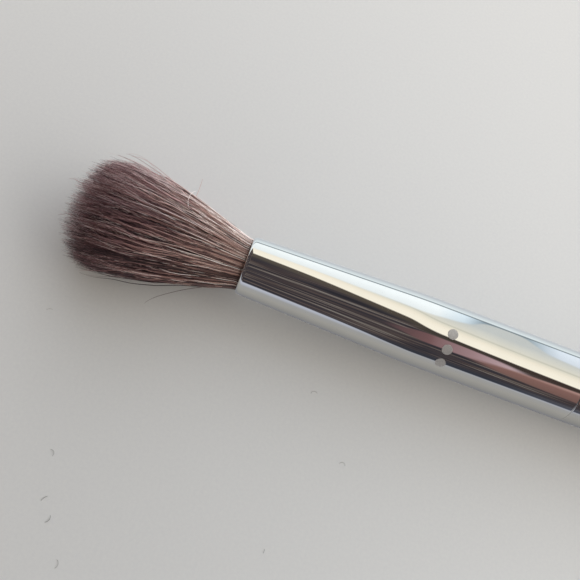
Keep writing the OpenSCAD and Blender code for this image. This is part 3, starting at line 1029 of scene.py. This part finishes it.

# %% [markdown]
# ### Building the tuft
# Each hair is cut in two about 8.5 mm out from the mouth, at a different distance on every
# hair. The halves are shared out over four meshes each, which keeps the meshes light.

# %% Build the tuft in pieces that meet where each hair is cut
BASE_STATIONS = np.array([-GLUE_DEPTH, -0.8, 0.5, 1.5, 2.5, 3.5, 4.5, 5.5, 6.6, SPLIT_OUT])
END_PARTS = np.array([0.11, 0.22, 0.33, 0.43, 0.53, 0.63, 0.72, 0.81, 0.89, 0.95, 1.0])
BASE_PIECES = 4
END_PIECES = 4
JOIN_GUARD_MM = 0.02
STATION_SHIFT_MM = 0.35
# How far the tints shift paler on the lit far side of the tuft, as painted light.
LIT_SIDE_TINTS = 17
MIDDLE_TINT = 27
LOCK_TINTS = 9
OWN_TINTS = 18
PALE_AND_GLINT_PART = 0.06
TIP_TAPER = 0.85
TIP_TAPER_MM = 7.0

# Hairs on the far side, where the light comes from, get paler tints and those opposite deeper
# ones: painted light and shade.
lit_side_shift = LIT_SIDE_TINTS * np.cos(turns) * shares
tint = np.clip(MIDDLE_TINT + lit_side_shift + LOCK_TINTS * lock_place["tint"][lock]
               + OWN_TINTS * random.normal(0, 1, HAIR_COUNT), 0, TINTS - 1)
# A few hairs are pale; they also stand in for painted glints on the tuft.
pale = random.random(HAIR_COUNT) < PALE_AND_GLINT_PART
tint = np.where(pale, TINTS - 1, tint).astype(int)
thickness = HAIR_THICK * random.uniform(0.7, 1.25, HAIR_COUNT) * MM / 2
# No two hairs have their stations or their join at the same distance, so no seam shows.
split_out = SPLIT_OUT + random.uniform(-SPLIT_SPREAD, SPLIT_SPREAD, HAIR_COUNT)
base_out = (BASE_STATIONS[None, :]
            + random.uniform(-STATION_SHIFT_MM, STATION_SHIFT_MM, (HAIR_COUNT, 1))
            * (BASE_STATIONS > 1)[None, :])
base_out[:, -1] = split_out - JOIN_GUARD_MM
end_out = split_out[:, None] + (ends - split_out)[:, None] * END_PARTS[None, :]
# A ring just beside the join, on each side, keeps the flat cut from tilting the shading.
all_out = np.concatenate([base_out, split_out[:, None], split_out[:, None] + JOIN_GUARD_MM,
                          end_out], axis=1)
all_paths = hair_paths(shares, turns, ends, all_out, lock, lock_place, wave, loose)
taper = 1 - TIP_TAPER * eased(all_out, ends[:, None] - TIP_TAPER_MM, ends[:, None] + 0.3)
all_rings = tube_rings(all_paths, thickness[:, None] * taper)
split = len(BASE_STATIONS) + 1


def bend_base(piece):
    """Bakes the placement of a piece of hair, from the glue to the join, into its mesh."""
    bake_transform(piece)
    print(piece.name, len(piece.data.polygons), "faces")


def bend_end(piece):
    """Bakes the placement of a piece of hair, from the join to the tips, into its mesh."""
    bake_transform(piece)
    print(piece.name, len(piece.data.polygons), "faces")


for part in range(BASE_PIECES):
    pick = slice(part, None, BASE_PIECES)
    piece = hair_tubes(f"hair_base_{part + 1}", all_rings[pick, :split], tint[pick],
                       all_out[pick, :split], goat_hair)
    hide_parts("hair_root", "hair_belly")
    bend_base(piece)
for part in range(END_PIECES):
    pick = slice(part, None, END_PIECES)
    piece = hair_tubes(f"hair_end_{part + 1}", all_rings[pick, split - 1:], tint[pick],
                       all_out[pick, split - 1:], goat_hair)
    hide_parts("hair_tip")
    bend_end(piece)

# %% [markdown]
# ## Stray hairs
# A used brush has a few hairs that have sprung away from the rest: wisps along both sides,
# a bent one below, one lying across the top. They are the same hair, each on a path of a few
# points given as distance out from the mouth, sideways from the axis and up from the axis.

# %% Stray hairs
STRAY_STATIONS = 15
STRAY_THICK_MM = 0.070
BASE_STRAYS = [
    [(0.6, -2.2, -2.0), (2.7, -2.9, -2.5), (4.65, -3.8, -2.6), (6.15, -4.6, -2.7),
     (7.2, -5.5, -2.8), (8.0, -6.3, -2.9), (8.6, -7.0, -3.0)],
    [(7.5, 4.6, 1.0), (7.54, 6.0, 0.6), (7.67, 7.3, 0.1), (7.8, 8.0, -0.4)],
    [(7.2, 1.6, 5.25), (7.5, 2.5, 5.1), (7.5, 3.4, 4.65), (7.3, 4.3, 3.9)],
    [(1.0, 1.2, 2.9), (3.0, 1.9, 3.6), (5.0, 2.2, 4.5), (7.0, 2.9, 4.9)]]
END_STRAYS = [
    [(9.3, 5.2, 0.4), (10.6, 6.0, 0.2), (13.05, 6.9, 0), (15.0, 7.3, 0), (16.45, 7.3, 0)],
    [(8.4, 5.0, 1.0), (9.8, 5.7, 0.8), (12.0, 6.6, 0.8), (14.0, 7.05, 0.6), (15.7, 7.1, 0.4)],
    [(10.4, 5.6, -0.6), (11.8, 6.15, -0.6), (14.1, 6.7, -0.5), (16.1, 7.0, -0.4),
     (17.3, 7.1, -0.4)],
    [(11.8, 5.7, 0.6), (13.2, 6.2, 0.6), (15.2, 6.5, 0.6), (17.0, 6.7, 0.5)],
    [(9.0, -4.5, 2.0), (8.8, -4.95, 1.5), (8.6, -5.4, 0.9)],
    [(7.7, -4.1, 1.6), (10.2, -5.2, 1.2), (12.7, -6.15, 0.8), (15.45, -7.1, 0.4)],
    [(9.3, -4.6, 0.8), (12.3, -5.6, 0.6), (15.4, -6.3, 0.4)],
    [(8.0, -4.3, 2.2), (8.8, -4.8, 1.8), (10.75, -5.55, 1.2)],
    [(16.8, 1.4, 2.2), (19.1, 1.8, 1.2), (19.9, 1.96, 0.8), (20.6, 2.1, 0.4)],
    [(16.5, -1.2, 1.6), (18.6, -1.6, 0.6), (20.0, -2.1, 0.1)]]


def stray_mesh(name, strays, stray_tint):
    """One mesh of stray hairs on smooth paths through their points."""
    out = np.zeros((len(strays), STRAY_STATIONS))
    paths = np.zeros((len(strays), STRAY_STATIONS, 3))
    for i, stray in enumerate(strays):
        knots = np.linspace(0, 1, len(stray))
        steps = np.linspace(0, 1, STRAY_STATIONS)
        fit = [np.polyfit(knots, np.array(stray)[:, k], min(3, len(stray) - 1))
               for k in range(3)]
        out[i], side, up = [np.polyval(line, steps) for line in fit]
        side = side + 0.05 * np.sin(steps * 9 + i)
        up = np.maximum(up + 0.05 * np.sin(steps * 7 + 2 * i), -(axis_mm - FLOOR_GAP))
        paths[i] = np.stack([mouth_x / MM - out[i], side, up + axis_mm], axis=1) * MM
    narrow = 1 - 0.7 * np.linspace(0, 1, STRAY_STATIONS) ** 2
    rings = tube_rings(paths, np.tile(STRAY_THICK_MM * MM / 2 * narrow, (len(strays), 1)))
    return hair_tubes(name, rings, np.array(stray_tint)[:len(strays)], out, goat_hair)


bend_base(stray_mesh("stray_hairs_base", BASE_STRAYS, [8, 40, 63, 52]))
bend_end(stray_mesh("stray_hairs_end", END_STRAYS, [34, 50, 28, 46, 14, 40, 22, 48, 44, 30]))

# %% [markdown]
# ## Lint on the table
# A few short fibres lie on the table near the brush. They belong to the stage, not to the
# brush, and only break up the empty floor. Each is a thin bent tube under a millimetre long.

# %% Lint
LINT_THICK_MM = 0.035
LINT_STATIONS = 7
# From the mouth, in mm: along, sideways, then length, heading in degrees, bend in degrees.
LINT = [(-9.7, -28.2, 0.7, 200, 60), (-9.2, -30.5, 0.9, 10, 110), (-11.1, -24.7, 0.9, 40, 150),
        (12.2, -9.6, 0.9, 120, 140), (17.2, -15.9, 0.9, 80, 170), (-17.1, -10.9, 0.7, 150, 90),
        (-6.6, -34.0, 0.9, 30, 120), (11.8, -26.6, 0.4, 70, 30)]
GREY_SHARES = [6, 6, 34, 44, 44, 50, 40, 12]

lint_fibre, tree, shader = start_material("grey_cotton_lint")
lint_map = add_node(tree, "ShaderNodeUVMap", uv_map="OFBake")
lint_axes = add_node(tree, "ShaderNodeSeparateXYZ", {"Vector": lint_map.outputs["UV"]})
tone = add_node(tree, "ShaderNodeValToRGB", {"Fac": lint_axes.outputs["X"]})
set_stops(tone, [(0.0, "#4a4a4a"), (1.0, "#b9b7b4")])
fill(tree, shader, {"Base Color": tone.outputs["Color"], "Roughness": 0.8})

lint_paths = np.zeros((len(LINT), LINT_STATIONS, 3))
for i, (along_mm, side_mm, length_mm, heading, bend) in enumerate(LINT):
    turns_on = np.radians(heading + bend * np.linspace(0, 1, LINT_STATIONS))
    step = length_mm / (LINT_STATIONS - 1)
    lint_paths[i, :, 0] = mouth_x / MM + along_mm + np.cumsum(np.cos(turns_on)) * step
    lint_paths[i, :, 1] = side_mm + np.cumsum(np.sin(turns_on)) * step
    lint_paths[i, :, 2] = LINT_THICK_MM
lint_radii = np.full((len(LINT), LINT_STATIONS), LINT_THICK_MM / 2 * MM)
lint_along = np.tile(np.linspace(0, 1, LINT_STATIONS), (len(LINT), 1))
lint = hair_tubes("table_lint", tube_rings(lint_paths * MM, lint_radii),
                  np.array(GREY_SHARES), lint_along, lint_fibre)
print(len(LINT), "fibres of lint")
